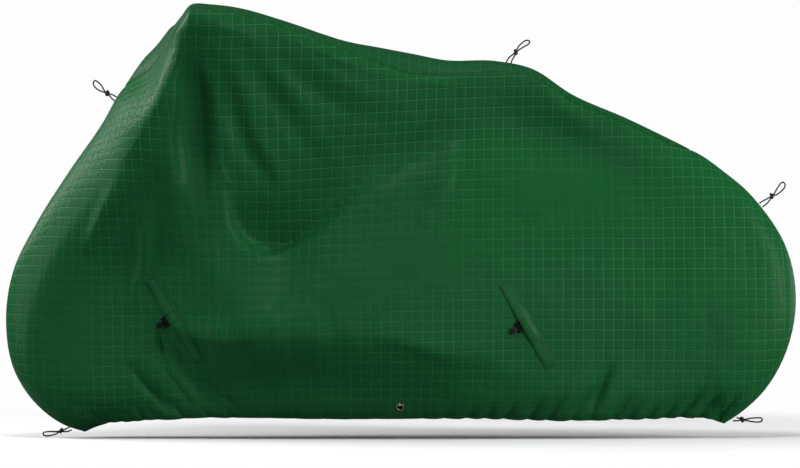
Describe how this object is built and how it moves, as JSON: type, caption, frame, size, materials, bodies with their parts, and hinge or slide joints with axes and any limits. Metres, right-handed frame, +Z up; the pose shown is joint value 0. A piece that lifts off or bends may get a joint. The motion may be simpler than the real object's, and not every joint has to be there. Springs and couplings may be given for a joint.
{
  "type": "fitted bicycle cover",
  "caption": "Hollow cover of coated ripstop cloth fitted over a bicycle, with side panels, a spine gusset, an elastic hem with eyelets, strap flaps and knotted cord loops.",
  "frame": {"origin": "where the bicycle's saddle carries the cloth, on the middle line of the cover's underside", "axes": "+Z up, +X towards the bicycle's rear wheel, -Y towards the bicycle's left side"},
  "size_m": [1.935, 0.5864, 1.0485],
  "materials": {
    "cloth": "coated ripstop, satin gloss",
    "strip": "coated ripstop, satin gloss",
    "hem": "coated ripstop, turned and gathered",
    "flap": "coated ripstop, double stitched",
    "webbing": "woven webbing",
    "plastic": "moulded, satin",
    "metal": "nickel plated",
    "cord": "braided sleeve over elastic"
  },
  "bodies": {
    "root": {"side_panel_left": "cloth", "side_panel_right": "cloth", "spine_gusset": "strip", "hem_band_left": "hem", "hem_band_right": "hem", "eyelet_left": "metal", "eyelet_right": "metal", "strap_flap_front_left": "flap", "strap_flap_front_right": "flap", "strap_flap_rear_left": "flap", "strap_flap_rear_right": "flap", "strap_tab_front_left": "webbing", "strap_tab_front_right": "webbing", "strap_tab_rear_left": "webbing", "strap_tab_rear_right": "webbing", "strap_clip_front_left": "plastic", "strap_clip_front_right": "plastic", "strap_clip_rear_left": "plastic", "strap_clip_rear_right": "plastic", "cord_loop_front_top": "cord", "cord_loop_saddle": "cord", "cord_loop_rear_top": "cord", "cord_loop_front_hem": "cord", "cord_loop_rear_hem": "cord"}
  },
  "joints": []
}
